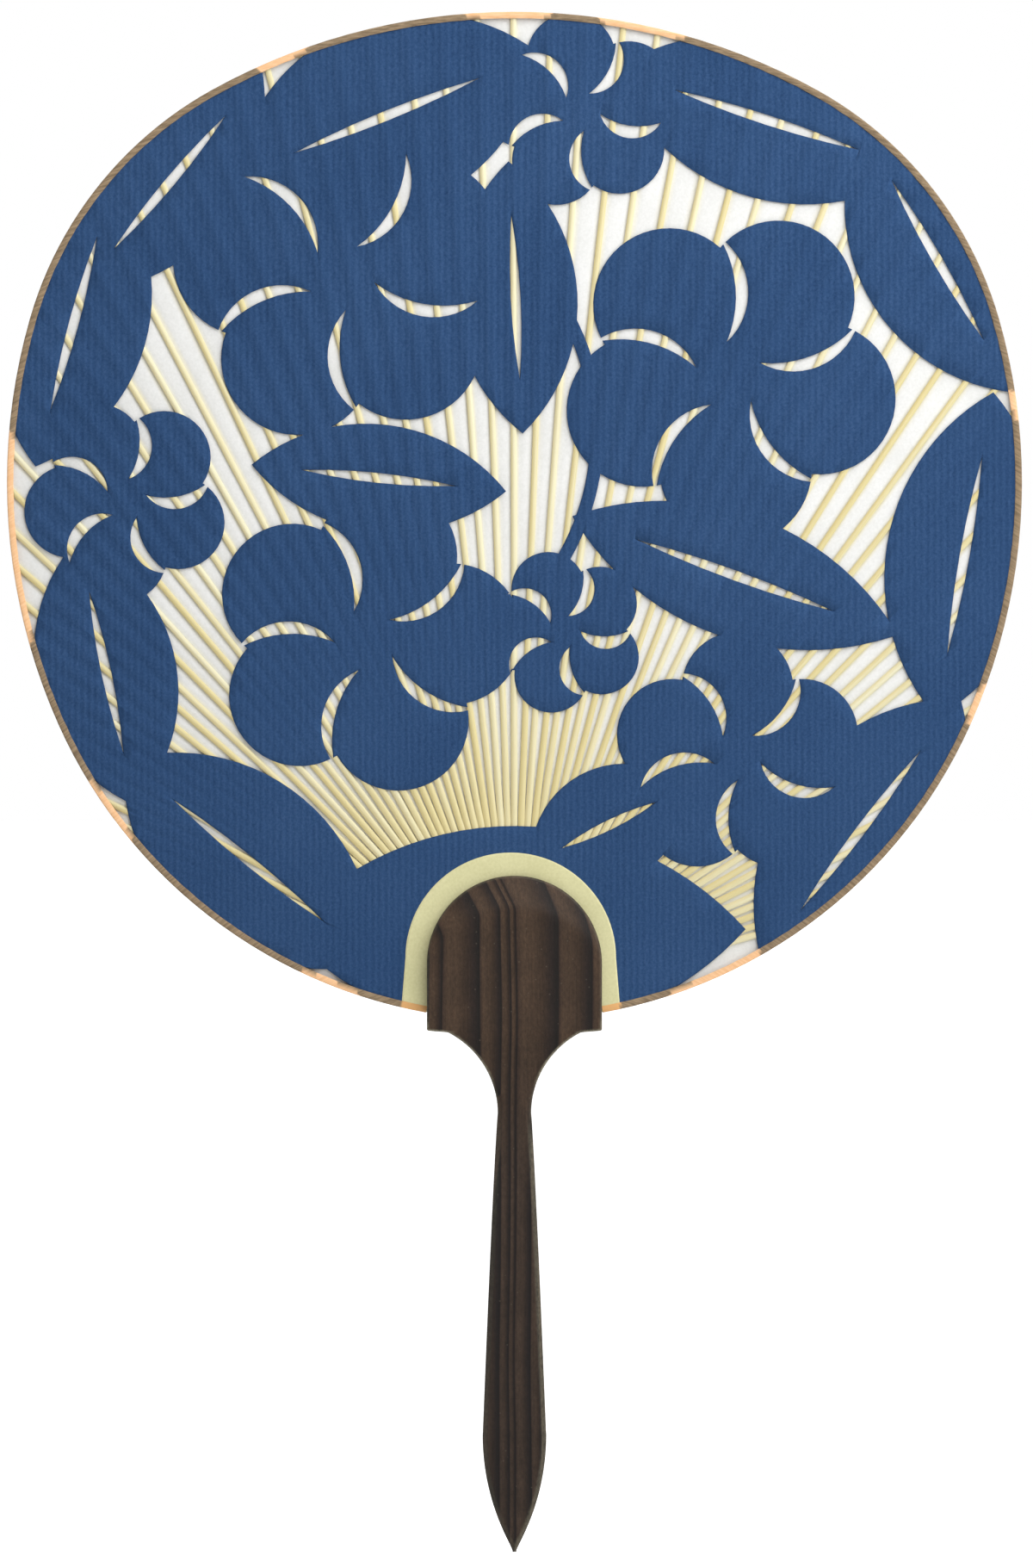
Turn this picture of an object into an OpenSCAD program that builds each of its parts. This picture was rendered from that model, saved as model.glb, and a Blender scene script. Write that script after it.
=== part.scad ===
// Round hand fan with an inserted handle. A sheet of thin bamboo ribs is glued between a plain back paper
// and a cut front paper. A paper collar lies on each side where the face goes into the slotted handle, and
// a narrow paper strip is folded over the rim. The fan stands in the XZ plane with its cut side towards -Y,
// and the origin is in the middle of the handle's blade, where a hand holds it. All sizes are in millimetres.

/* [Face] */
// Width of the face
face_w = 245.5; // [200:0.5:300]
// Radius of the flattened top, over half the face's width
top_round = 1.23; // [1.15:0.01:1.27]
// Radius of the shoulders, over half the face's width
shoulder_round = 0.75; // [0.72:0.01:0.85]
// Radius of the sides, over half the face's width
side_round = 1.17; // [1.1:0.01:1.2]
// Thickness of the cut front paper
front_paper_t = 0.35; // [0.2:0.05:0.6]
// Thickness of the plain back paper
back_paper_t = 0.2; // [0.1:0.05:0.4]

/* [Ribs] */
// Ribs on each side of the middle one
ribs_a_side = 35; // [20:1:36]
// Angle from one rib to the next, in degrees
rib_step = 2.12; // [1.7:0.01:2.45]
// Width of a rib
rib_w = 1.4; // [0.8:0.1:2]
// Thickness of a rib
rib_t = 0.8; // [0.4:0.1:1.2]
// Space left between two ribs where they lie side by side
rib_gap = 0.1; // [0.05:0.05:0.3]
// Height above the face's lowest point of the spot that all ribs aim at
rib_aim_up = 4; // [2:0.5:8]
// Distance from that spot to the ribs' lower ends
rib_root = 14; // [12:0.5:20]

/* [Collar] */
// Radius of the collar's round top
collar_r = 25.5; // [21:0.5:32]
// Half of the collar's width at the rim
collar_foot = 26.8; // [24.5:0.1:34]
// Height of the collar's top above the top of the handle's head
collar_over = 5.6; // [2:0.1:10]
// How far the collar was glued off the handle's middle
collar_shift = -0.9; // [-1.5:0.1:1.5]
// Thickness of a collar
collar_t = 0.15; // [0.1:0.05:0.3]

/* [Rim strip] */
// Width of the strip on each side of the face
strip_w = 1.4; // [1:0.1:3]
// Thickness of the strip
strip_t = 0.15; // [0.1:0.05:0.3]
// Space between the strip's ends and the handle
strip_end_gap = 0.3; // [0.1:0.1:1]

/* [Handle head] */
// Width of the head
head_w = 42.3; // [35:0.1:51]
// Height of the head from its lower corners to its top
head_h = 37.4; // [32:0.1:44]
// Thickness of the head
head_t = 9.6; // [8:0.1:12]
// Width of the bevel at the head's top, from which it narrows towards the sides
head_bevel = 7.6; // [4:0.1:9]
// How far below the middle of the head's arch the bevel is centred
bevel_drop = 12; // [8:0.5:16]
// Thickness that the bevel leaves at the head's top, on each side of the slot
head_edge = 1.6; // [1:0.1:2.5]
// Wood between the slot's floor and the lower corners
slot_floor = 2.2; // [1.5:0.1:4]
// Glue line between the face and each wall of the slot
glue_gap = 0.05; // [0.02:0.01:0.1]
// Space between the face's lowest point and the slot's floor
seat_gap = 0.3; // [0.1:0.1:0.5]

/* [Handle blade] */
// Length from the head's lower corners to the tip
blade_l = 126.3; // [105:0.1:155]
// Width of the neck
neck_w = 8.1; // [6.5:0.1:10]
// Thickness of the neck and of the blade
blade_t = 7; // [5.5:0.1:8.5]
// Radius of the hollow curve from the head to the neck
throat_r = 22; // [19:0.5:26]
// Width of the blade where it is widest
blade_w = 15.4; // [12:0.1:19]
// Length of the pointed end, from the widest place to the tip
point_l = 28.4; // [22:0.1:36]
// Thickness at the very tip
tip_t = 2; // [1:0.1:3]
// Width of the chamfer along the blade's four edges
blade_chamfer = 1.3; // [0.5:0.1:2]
// Distance from the tip to the middle of the grip
grip_up = 53.4; // [40:0.1:65]

/* [Cut pattern] */
// Width of the stem
stem_w = 3.2; // [2:0.1:5]
// Width of the slits inside blossoms
slit_w = 3; // [2:0.1:4]
// Width of the slits inside leaves
vein_w = 2.4; // [1.5:0.1:3.5]

/* [Hidden] */
rib_names = [for (i = [1 : ribs_a_side]) str("rib_pair_", i < 10 ? "0" : "", i)];
$fn = 96;
slack = 1; // how far a cutting shape runs past what it cuts

// Layers of the face, as distances along Y from the middle of the slot
stack_t = front_paper_t + rib_t + back_paper_t + 2 * collar_t;
y_collar_front = -stack_t / 2;
y_paper_front = y_collar_front + collar_t;
y_ribs_front = y_paper_front + front_paper_t;
y_ribs_back = y_ribs_front + rib_t;
y_paper_back = y_ribs_back + back_paper_t;
slot_t = stack_t + 2 * glue_gap;

// Heights along the handle
z_tip = -grip_up;
z_corner = z_tip + blade_l;
z_top = z_corner + head_h;
z_arch = z_top - head_w / 2;
z_wide = z_tip + point_l;
throat_start = 0.8; // where the throat leaves the head's lower edge, over half the head's width
throat_out = neck_w / 2 + throat_r;
throat_x = head_w / 2 * throat_start;
z_neck = z_corner - sqrt(throat_r ^ 2 - (throat_out - throat_x) ^ 2);
z_slot = z_corner + slot_floor;
z_face_low = z_slot + seat_gap;

// The face's outline: four arcs on each side that run into each other, from the top to the bottom. Each
// arc's turn is the direction of its outward normal, in degrees from straight up.
turns = [0, 29, 74, 114, 180];
round_sum = top_round * sin(turns[1]) + shoulder_round * (sin(turns[2]) - sin(turns[1]));
half_round = round_sum + side_round * (1 - sin(turns[2]));
bottom_round = (round_sum + side_round * (sin(turns[3]) - sin(turns[2]))) / sin(turns[3]);
arc_r = [for (r = [top_round, shoulder_round, side_round, bottom_round]) r * face_w / 2 / half_round];
arc_steps = [15, 23, 20, 33];
function arc_middle(i) = i == 0
    ? [0, -arc_r[0]]
    : arc_middle(i - 1) + (arc_r[i - 1] - arc_r[i]) * [sin(turns[i]), cos(turns[i])];
face_h = arc_r[3] - arc_middle(3).y;
z_face_top = z_face_low + face_h;
face_middle = [0, z_face_low + face_h / 2];
function arc_point(i, turn, grow) =
    [0, z_face_top] + arc_middle(i) + (arc_r[i] + grow) * [sin(turn), cos(turn)];
function half_face(grow) = concat(
    [for (i = [0 : 3]) for (k = [0 : arc_steps[i] - 1])
        arc_point(i, turns[i] + (turns[i + 1] - turns[i]) * k / arc_steps[i], grow)],
    [arc_point(3, 180, grow)]
);
function face_points(grow = 0) = let (half = half_face(grow)) concat(
    half,
    [for (k = [len(half) - 2 : -1 : 1]) [-half[k].x, half[k].y]]
);

// One side of the blade's outline, from the neck to the tip, drawn in by an inset
point_r = ((blade_w / 2) ^ 2 + point_l ^ 2) / blade_w;
blade_swell = 0.85; // how soon the blade widens below the neck: 1 is a straight taper
tip_draw = 2.5; // how far an inset outline stops short of the tip, over its inset
side_steps = 14;
point_steps = 10;
function blade_half(z) = z > z_wide
    ? neck_w / 2 + (blade_w - neck_w) / 2 * max(0, (z_neck - z) / (z_neck - z_wide)) ^ blade_swell
    : sqrt(point_r ^ 2 - (z_wide - z) ^ 2) - point_r + blade_w / 2;
function blade_side(inset) = concat(
    [for (k = [0 : side_steps - 1]) let (z = z_neck + (z_wide - z_neck) * k / side_steps)
        [blade_half(z) - inset, z]],
    [for (k = [0 : point_steps - 1]) let (z = z_wide - (point_l - tip_draw * inset) * k / point_steps)
        [blade_half(z) - inset, z]],
    [[0, z_tip + tip_draw * inset]]
);

// One side of the throat, a hollow arc from the head's lower edge to the neck
throat_steps = 16;
throat_turn = acos((throat_out - throat_x) / throat_r);
throat_side = [for (k = [throat_steps : -1 : 0]) let (a = throat_turn * k / throat_steps)
    [throat_out - throat_r * cos(a), z_neck + throat_r * sin(a)]];

// Both sides of an outline whose one side is given from its top to its bottom
function both_sides(side) = concat(
    side,
    [for (k = [len(side) - 1 : -1 : 0]) if (side[k].x > 0) [-side[k].x, side[k].y]]
);

// Moves a flat XZ outline to y_front and gives it a thickness towards +Y
module plate(y_front, thickness) {
    translate([0, y_front + thickness, 0])
        rotate([90, 0, 0])
            linear_extrude(thickness)
                children();
}

module face_outline(grow = 0) {
    polygon(face_points(grow));
}

// Puts motifs on the face: their places are from the middle of a face of pattern_w, and grow with the face
pattern_w = 245.5;
module on_face() {
    translate(face_middle)
        scale(face_w / pattern_w)
            children();
}

module placed(at, turn) {
    translate(at)
        rotate(turn)
            children();
}

// A pointed leaf that grows up from its foot: the space shared by two discs
module lens(length, width) {
    r = (length ^ 2 + width ^ 2) / (4 * width);
    translate([0, length / 2])
        intersection() {
            translate([r - width / 2, 0]) circle(r);
            translate([width / 2 - r, 0]) circle(r);
        }
}

// Round petals about a round middle
petals = 5;
petal_share = 0.45; // a petal's radius, over the blossom's
module blossom(r) {
    middle_r = r * (1 - petal_share);
    for (i = [1 : petals])
        rotate(360 / petals * i)
            translate([0, middle_r])
                circle(r * petal_share);
    circle(middle_r);
}

// The cuts inside a blossom: a curved slit between each two petals
slit_start = 0.2; // distance from the blossom's middle to its slits, over the blossom's radius
slit_share = 0.62; // length of a slit, over the blossom's radius
module blossom_slits(r) {
    for (i = [1 : petals])
        rotate(360 / petals * (i + 0.5))
            translate([0, r * slit_start])
                crescent(r * slit_share, slit_w);
}

// A curved slit with two pointed ends that stands on the origin
bend_share = 0.12; // how far a slit's inner side bends, over its length
module crescent(length, width) {
    inner_bend = length * bend_share;
    outer_bend = inner_bend + width;
    outer_r = (outer_bend ^ 2 + (length / 2) ^ 2) / (2 * outer_bend);
    inner_r = (inner_bend ^ 2 + (length / 2) ^ 2) / (2 * inner_bend);
    translate([0, length / 2])
        difference() {
            translate([outer_bend - outer_r, 0]) circle(outer_r);
            translate([inner_bend - inner_r, 0]) circle(inner_r);
        }
}

// A band along a circle's arc, from one turn to another
module stem(r, from, to) {
    steps = 24;
    turn = [for (k = [0 : steps]) from + (to - from) * k / steps];
    polygon(concat(
        [for (a = turn) (r + stem_w / 2) * [cos(a), sin(a)]],
        [for (k = [steps : -1 : 0]) (r - stem_w / 2) * [cos(turn[k]), sin(turn[k])]]
    ));
}

// Each blossom's place, radius and turn
blossoms = [
    [[-42, 58], 41, 8], [[52, 34], 41, 40], [[-36, -30], 38, 58],
    [[54, -58], 30, 0], [[-94, 4], 25, 30], [[16, 98], 24, 10], [[12, -28], 20, 20],
];
// Each leaf's foot, turn, length and width
leaves = [
    [[-68, 82], -68, 80, 46],
    [[24, 108], -108, 78, 38],
    [[84, 94], -150, 74, 38],
    [[116, 30], 170, 80, 38],
    [[108, -44], 143, 80, 40],
    [[-34, -108], 51, 78, 40],
    [[-92, -70], 12, 66, 34],
    [[-116, 12], -15, 72, 36],
    [[-106, 54], -40, 70, 32],
    [[2, 20], 3, 66, 30],
    [[14, 0], -110, 84, 30],
    [[-2, 6], 84, 62, 26],
    [[4, -84], -64, 42, 28],
];

// The stem between two blossoms: the middle of its circle, its radius and the turns it runs between
stem_middle = [-40, 20];
stem_r = 60;
stem_turns = [-30, 40];
// The uncut part that carries the collar, and how far below the face's middle it lies
ground_l = 112;
ground_w = 50;
ground_drop = 100;
vein_start = 0.2; // bare part of a leaf at each end of its slit, over the leaf's length

module motifs() {
    for (b = blossoms) placed(b[0], b[2]) blossom(b[1]);
    for (l = leaves) placed(l[0], l[1]) lens(l[2], l[3]);
    placed(stem_middle, 0) stem(stem_r, stem_turns[0], stem_turns[1]);
    placed([-ground_l / 2, -ground_drop], -90) lens(ground_l, ground_w);
}

module vein(length) {
    translate([0, length * vein_start])
        lens(length * (1 - 2 * vein_start), vein_w);
}

module slits() {
    for (b = blossoms) placed(b[0], b[2]) blossom_slits(b[1]);
    for (l = leaves) placed(l[0], l[1]) vein(l[2]);
}

module cut_pattern() {
    difference() {
        face_outline(slack);
        on_face() motifs();
    }
    on_face() slits();
}

module collar_outline(grow = 0) {
    steps = 48;
    z_middle = z_top + collar_over - collar_r;
    arch = [for (k = [0 : steps]) (collar_r + grow) * [cos(180 * k / steps), sin(180 * k / steps)]];
    foot_x = collar_foot + grow;
    foot_z = z_face_low - slack - z_middle;
    translate([collar_shift, z_middle])
        polygon(concat(arch, [[-foot_x, foot_z], [foot_x, foot_z]]));
}

module rim_band() {
    difference() {
        face_outline(strip_t);
        face_outline(-strip_w);
    }
}

module head_outline() {
    translate([0, z_arch]) circle(head_w / 2);
    translate([-head_w / 2, z_corner]) square([head_w, z_arch - z_corner]);
}

// The handle as seen from the side: thick at the head, thin at the tip
module side_outline() {
    polygon([
        [-tip_t / 2, z_tip], [tip_t / 2, z_tip], [blade_t / 2, z_wide], [blade_t / 2, z_neck],
        [head_t / 2, z_corner], [head_t / 2, z_top + slack], [-head_t / 2, z_top + slack],
        [-head_t / 2, z_corner], [-blade_t / 2, z_neck], [-blade_t / 2, z_wide]
    ]);
}

// What the bevel takes off the front of the head: everything above a cone
module bevel_cut() {
    top_r = head_w / 2 + bevel_drop;
    low_y = slot_t / 2 + head_edge;
    translate([0, 0, z_arch - bevel_drop])
        rotate([90, 0, 0])
            rotate_extrude(angle = 180)
                polygon([
                    [top_r - head_bevel, head_t / 2], [top_r, low_y], [top_r + slack, low_y],
                    [top_r + slack, head_t / 2 + slack], [top_r - head_bevel, head_t / 2 + slack]
                ]);
}

// The blade with its four long edges chamfered
module blade() {
    hull() {
        plate(blade_chamfer - blade_t / 2, blade_t - 2 * blade_chamfer) polygon(both_sides(blade_side(0)));
        plate(-blade_t / 2, blade_t) polygon(both_sides(blade_side(blade_chamfer)));
    }
}

module handle() {
    color("#42362E")
        difference() {
            intersection() {
                union() {
                    plate(-head_t / 2, head_t) head_outline();
                    plate(-head_t / 2, head_t) polygon(both_sides(throat_side));
                    blade();
                }
                translate([-head_w / 2 - slack, 0, 0])
                    rotate([90, 0, 90])
                        linear_extrude(head_w + 2 * slack)
                            side_outline();
            }
            translate([-head_w / 2 - slack, -slot_t / 2, z_slot])
                cube([head_w + 2 * slack, slot_t, head_h]);
            bevel_cut();
            mirror([0, 1, 0]) bevel_cut();
        }
}

module front_paper() {
    color("#32527D")
        plate(y_paper_front, front_paper_t)
            difference() {
                face_outline();
                cut_pattern();
            }
}

module back_paper() {
    color("#F2F0EA")
        plate(y_ribs_back, back_paper_t)
            face_outline();
}

module collar(y_front) {
    color("#DAD6A5")
        plate(y_front, collar_t)
            intersection() {
                face_outline();
                collar_outline();
            }
}

// The strip lies on the papers, wraps their edge, climbs over the collars and ends beside the handle
module rim_strip() {
    end_x = head_w / 2 + strip_end_gap;
    climb = collar_t + strip_t;
    color("#C9A077")
        difference() {
            union() {
                plate(y_paper_front - strip_t, y_paper_back - y_paper_front + 2 * strip_t) rim_band();
                for (y_front = [y_paper_front - climb, y_paper_back])
                    plate(y_front, climb)
                        intersection() {
                            rim_band();
                            collar_outline(strip_t);
                        }
            }
            plate(y_paper_front, y_paper_back - y_paper_front) face_outline();
            for (y_front = [y_collar_front, y_paper_back])
                plate(y_front, collar_t)
                    intersection() {
                        face_outline();
                        collar_outline();
                    }
            translate([-end_x, -stack_t, z_face_low - slack]) cube([2 * end_x, 2 * stack_t, face_h / 2]);
        }
}

// A rib as seen from the front, standing on the spot that all ribs aim at. Below the place where it meets
// its neighbours it narrows, so that they lie side by side.
half_step = sin(rib_step / 2);
rib_meet = (rib_w + rib_gap) / (2 * half_step);
root_w = 2 * rib_root * half_step - rib_gap;
rib_aim = [0, z_face_low + rib_aim_up];
module rib_outline() {
    polygon([
        [-root_w / 2, rib_root], [root_w / 2, rib_root], [rib_w / 2, rib_meet],
        [rib_w / 2, face_h + slack], [-rib_w / 2, face_h + slack], [-rib_w / 2, rib_meet]
    ]);
}

module rib(turn) {
    plate(y_ribs_front, rib_t)
        intersection() {
            face_outline(-rib_gap);
            translate(rib_aim) rotate(turn) rib_outline();
        }
}

module rib_pair(i) {
    color("#E8D79A")
        for (side = [-1, 1])
            rib(side * i * rib_step);
}

handle();
front_paper();
back_paper();
collar(y_collar_front);  // front_collar
collar(y_paper_back);  // back_collar
rim_strip();
color("#E8D79A") rib(0);  // middle_rib
for (i = [1 : ribs_a_side]) rib_pair(i);
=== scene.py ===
"""A round hand fan with a cut paper face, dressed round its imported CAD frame.

Every mesh is in metres in the row's frame: +Z runs along the handle towards the face, and the cut front side
looks towards -Y. The sizes in the classes are in millimetres, as on a maker's drawing, apart from those of the
lamps. MM turns them into metres.
"""
import logging
import math
from dataclasses import dataclass
from enum import Enum
from functools import partial
from typing import Any, Callable, Sequence

import bmesh
import bpy
import numpy as np
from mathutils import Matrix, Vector, noise
from mathutils.bvhtree import BVHTree

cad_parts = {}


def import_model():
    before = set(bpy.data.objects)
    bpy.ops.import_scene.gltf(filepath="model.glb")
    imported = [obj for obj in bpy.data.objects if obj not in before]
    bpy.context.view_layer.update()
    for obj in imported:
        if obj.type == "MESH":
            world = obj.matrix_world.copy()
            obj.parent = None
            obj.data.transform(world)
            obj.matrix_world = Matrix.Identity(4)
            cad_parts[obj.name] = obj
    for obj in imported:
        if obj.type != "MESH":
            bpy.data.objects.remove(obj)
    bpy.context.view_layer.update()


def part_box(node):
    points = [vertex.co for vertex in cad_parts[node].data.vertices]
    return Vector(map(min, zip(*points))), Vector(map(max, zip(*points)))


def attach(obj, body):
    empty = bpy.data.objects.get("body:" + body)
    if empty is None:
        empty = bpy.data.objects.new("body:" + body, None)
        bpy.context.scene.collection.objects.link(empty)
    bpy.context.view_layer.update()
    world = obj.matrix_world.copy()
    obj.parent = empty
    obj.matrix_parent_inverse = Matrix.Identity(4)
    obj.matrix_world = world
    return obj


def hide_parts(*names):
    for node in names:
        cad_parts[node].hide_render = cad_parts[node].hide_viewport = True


log = logging.getLogger("hand_fan")
MM = 0.001
BODY = "root"
TOUCH = 1e-6  # two heights this close, in metres, are one
TINY = 1e-12  # keeps a division by a length safe
Point = tuple[float, float]
Colour = tuple[float, float, float, float]
Values = np.ndarray
Adder = Callable[..., bpy.types.Node]
Node, Tree = bpy.types.Node, bpy.types.NodeTree
Obj, Material = bpy.types.Object, bpy.types.Material


class Slot(Enum):
    """The record's material slots."""

    HANDLE = "handle_wood"
    BLUE = "blue_paper"
    WHITE = "white_paper"
    COLLAR = "collar_paper"
    STRIP = "strip_paper"
    BAMBOO = "bamboo"


class Side(Enum):
    """The two sides of the fan, as the sign of Y."""

    FRONT = -1
    BACK = 1


def linear(code: str) -> Colour:
    """Turns an sRGB hex value into a linear colour.

    Args:
        code: six hex digits after a hash sign.

    Returns:
        Red, green, blue and an alpha of 1.
    """
    parts = [int(code[k:k + 2], 16) / 255 for k in (1, 3, 5)]
    red, green, blue = (c / 12.92 if c <= 0.04045 else ((c + 0.055) / 1.055) ** 2.4 for c in parts)
    return red, green, blue, 1.0


def add_node(tree: Tree, kind: str, inputs: dict | Sequence = (), **settings: Any) -> Node:
    """Adds a node to a tree.

    Args:
        tree: the shader or geometry tree.
        kind: the node's type name, of which ShaderNode at the start may be left off.
        inputs: a value, hex colour, socket or node for each input, in order or by the input's name or number.
            A node stands for its first output in use.
        settings: the node's own properties.

    Returns:
        The new node.
    """
    node = tree.nodes.new(kind if "Node" in kind else "ShaderNode" + kind)
    for key, value in settings.items():
        setattr(node, key, value)
    for key, value in inputs.items() if isinstance(inputs, dict) else enumerate(inputs):
        if isinstance(value, str) and value.startswith("#"):
            value = linear(value)
        if isinstance(value, bpy.types.Node):
            value = next(s for s in value.outputs if s.enabled)
        if isinstance(value, bpy.types.NodeSocket):
            tree.links.new(value, node.inputs[key])
        else:
            node.inputs[key].default_value = value
    return node


def smooth(values: Values) -> Values:
    """Eases values from 0 to 1, and clips what lies outside."""
    t = np.clip(values, 0, 1)
    return t * t * (3 - 2 * t)


def distance_to(points: Values, loop: Values) -> Values:
    """Measures how far points lie from a closed outline.

    Args:
        points: one row of x and z for each point.
        loop: the outline's corners in order.

    Returns:
        One distance for each point, in the points' own unit.
    """
    best = np.full(len(points), np.inf)
    for a, b in zip(loop, np.roll(loop, -1, axis=0)):
        along = b - a
        t = np.clip(((points - a) @ along) / max(along @ along, TINY), 0, 1)
        best = np.minimum(best, np.hypot(*(points - a - t[:, None] * along).T))
    return best


def mesh_points(mesh: bpy.types.Mesh) -> Values:
    """Reads a mesh's vertices.

    Args:
        mesh: a mesh in metres.

    Returns:
        One row for each vertex, in millimetres.
    """
    flat = np.empty(len(mesh.vertices) * 3)
    mesh.vertices.foreach_get("co", flat)
    return flat.reshape(-1, 3) / MM


def store(piece: Obj, name: str, values: Values) -> None:
    """Stores one number for each vertex as an attribute that a material can read."""
    layer = piece.data.attributes.new(name, "FLOAT", "POINT")
    layer.data.foreach_set("value", np.asarray(values, np.float32))


def dress(piece: Obj, *materials: Material) -> None:
    """Gives a piece its materials, in place of any that it has.

    Args:
        piece: the piece.
        materials: its materials in order.
    """
    piece.data.materials.clear()
    for material in materials:
        piece.data.materials.append(material)


def link_object(name: str, data: bpy.types.ID) -> Obj:
    """Links an object that shows a mesh, lamp or camera, at the origin.

    Args:
        name: the object's name.
        data: what it shows.

    Returns:
        The object.
    """
    made = bpy.data.objects.new(name, data)
    bpy.context.scene.collection.objects.link(made)
    return made


def make_object(name: str, points: Values | Sequence, faces: Sequence = (), edges: Sequence = (),
                closed: bool = False) -> Obj:
    """Makes an object from points, faces and edges.

    Args:
        name: the object's name.
        points: its vertices, in millimetres.
        faces: the vertex numbers of each face.
        edges: the vertex numbers of each loose edge.
        closed: whether it is a closed body, whose faces are all to point outwards.

    Returns:
        The object, with its mesh in metres.
    """
    mesh = bpy.data.meshes.new(name)
    mesh.from_pydata((np.asarray(points) * MM).tolist(), list(edges), [list(f) for f in faces])
    if closed:
        bm = bmesh.new()
        bm.from_mesh(mesh)
        bmesh.ops.recalc_face_normals(bm, faces=bm.faces)
        bm.to_mesh(mesh)
        bm.free()
    return link_object(name, mesh)


def baked(source: Obj, name: str, *spent: Obj) -> Obj:
    """Turns an object with modifiers into a plain one.

    Args:
        source: the object whose evaluated mesh is kept.
        name: the plain object's name.
        spent: helper objects to remove with the source.

    Returns:
        The plain object.
    """
    graph = bpy.context.evaluated_depsgraph_get()
    mesh = bpy.data.meshes.new_from_object(source.evaluated_get(graph), depsgraph=graph)
    mesh.name = name
    for old in (source, *spent):
        bpy.data.objects.remove(old)
    return link_object(name, mesh)


def boolean(body: Obj, tool: Obj, operation: str, name: str) -> Obj:
    """Cuts or clips a closed body with a closed tool.

    Args:
        body: the body, which is used up.
        tool: the tool, which is used up.
        operation: Blender's name for what is done.
        name: the result's name.

    Returns:
        The plain result.
    """
    cut = body.modifiers.new("cut", "BOOLEAN")
    cut.operation, cut.solver, cut.object = operation, "MANIFOLD", tool
    return baked(body, name, tool)


def geometry_tree(name: str, result: str, sizes: dict[str, Any], **others: str) -> tuple[Tree, Adder, Any]:
    """Starts a geometry tree that works on the rim.

    Args:
        name: the tree's name.
        result: the name of what it gives.
        sizes: each input that is a number or a place, with its value.
        others: each input that the modifier fills, with its kind of socket.

    Returns:
        The tree, what adds a node to it, and the sockets of its inputs.
    """
    tree = bpy.data.node_groups.new(name, "GeometryNodeTree")
    kinds = {key: {int: "Int", float: "Float", tuple: "Vector"}[type(value)] for key, value in sizes.items()}
    tree.interface.new_socket(result, in_out="OUTPUT", socket_type="NodeSocketGeometry")
    for key, kind in {"Rim": "Geometry", **kinds, **others}.items():
        socket = tree.interface.new_socket(key, in_out="INPUT", socket_type="NodeSocket" + kind)
        if key in sizes:
            socket.default_value = sizes[key]
    add = partial(add_node, tree)
    return tree, add, add("NodeGroupInput").outputs


def end_tree(add: Adder, shape: Node, material: bpy.types.NodeSocket, result: str) -> None:
    """Ends a geometry tree: smooth shading, real geometry, its material, and the output.

    Args:
        add: adds a node to the tree.
        shape: the node that gives the shape.
        material: the input that gives the material.
        result: the name of what the tree gives.
    """
    shaded = add("GeometryNodeSetShadeSmooth", {"Geometry": shape, "Shade Smooth": True})
    solid = add("GeometryNodeRealizeInstances", [shaded])
    dressed = add("GeometryNodeSetMaterial", {"Geometry": solid, "Material": material})
    add("NodeGroupOutput", {result: dressed})


def grown(base: Obj, tree: Tree, name: str, *spent: Obj, **filled: Any) -> Obj:
    """Lets a geometry tree make a piece from an object.

    Args:
        base: the object, which is used up.
        tree: the tree.
        name: the piece's name.
        spent: helper objects to remove afterwards.
        filled: what goes into the tree's other inputs.

    Returns:
        The plain piece.
    """
    modifier = base.modifiers.new(name, "NODES")
    modifier.node_group = tree
    for socket in tree.interface.items_tree:
        if socket.in_out == "INPUT" and socket.name in filled:
            modifier[socket.identifier] = filled[socket.name]
    return baked(base, name, *spent)


def settle(piece: Obj, sharp: float, slot: Slot, *nodes: str) -> None:
    """Shades a finished piece, attaches it to its body and hides the CAD nodes it stands for.

    Args:
        piece: the plain piece.
        sharp: the angle in degrees from which an edge stays sharp.
        slot: the record's slot that it shows; it is not used.
        nodes: the nodes that it replaces.
    """
    piece.data.polygons.foreach_set("use_smooth", np.ones(len(piece.data.polygons), bool))
    piece.data.set_sharp_from_angle(angle=math.radians(sharp))
    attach(piece, BODY)
    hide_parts(*nodes)
    log.info("%s: %d faces in place of %d CAD nodes", piece.name, len(piece.data.polygons), len(nodes))


def merged(node: str) -> bmesh.types.BMesh:
    """Copies a CAD node's mesh and joins its loose triangles.

    Args:
        node: the node's name.

    Returns:
        The copy, which the caller frees.
    """
    bm = bmesh.new()
    bm.from_mesh(bpy.data.objects[node].data)
    bmesh.ops.remove_doubles(bm, verts=bm.verts, dist=1e-7)
    bmesh.ops.recalc_face_normals(bm, faces=bm.faces)
    return bm


def outline_of(node: str) -> Values:
    """Reads the corners of a flat CAD node's outer outline.

    Args:
        node: a node cut from a flat sheet in the XZ plane.

    Returns:
        Its longest loop in order, in millimetres.
    """
    bm = merged(node)
    front = {f for f in bm.faces if f.normal.y < -0.9}
    ring: dict[int, list[int]] = {}
    for edge in bm.edges:
        if len(set(edge.link_faces) & front) == 1:
            a, b = (v.index for v in edge.verts)
            ring.setdefault(a, []).append(b)
            ring.setdefault(b, []).append(a)
    places = {v.index: (v.co.x / MM, v.co.z / MM) for v in bm.verts}
    bm.free()
    loops = []
    while ring:
        start, before = next(iter(ring)), -1
        loop, here = [start], start
        while True:
            before, here = here, next(k for k in ring[here] if k != before)
            if here == start:
                break
            loop.append(here)
        for k in loop:
            del ring[k]
        loops.append([places[k] for k in loop])
    return np.array(max(loops, key=len))


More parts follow.
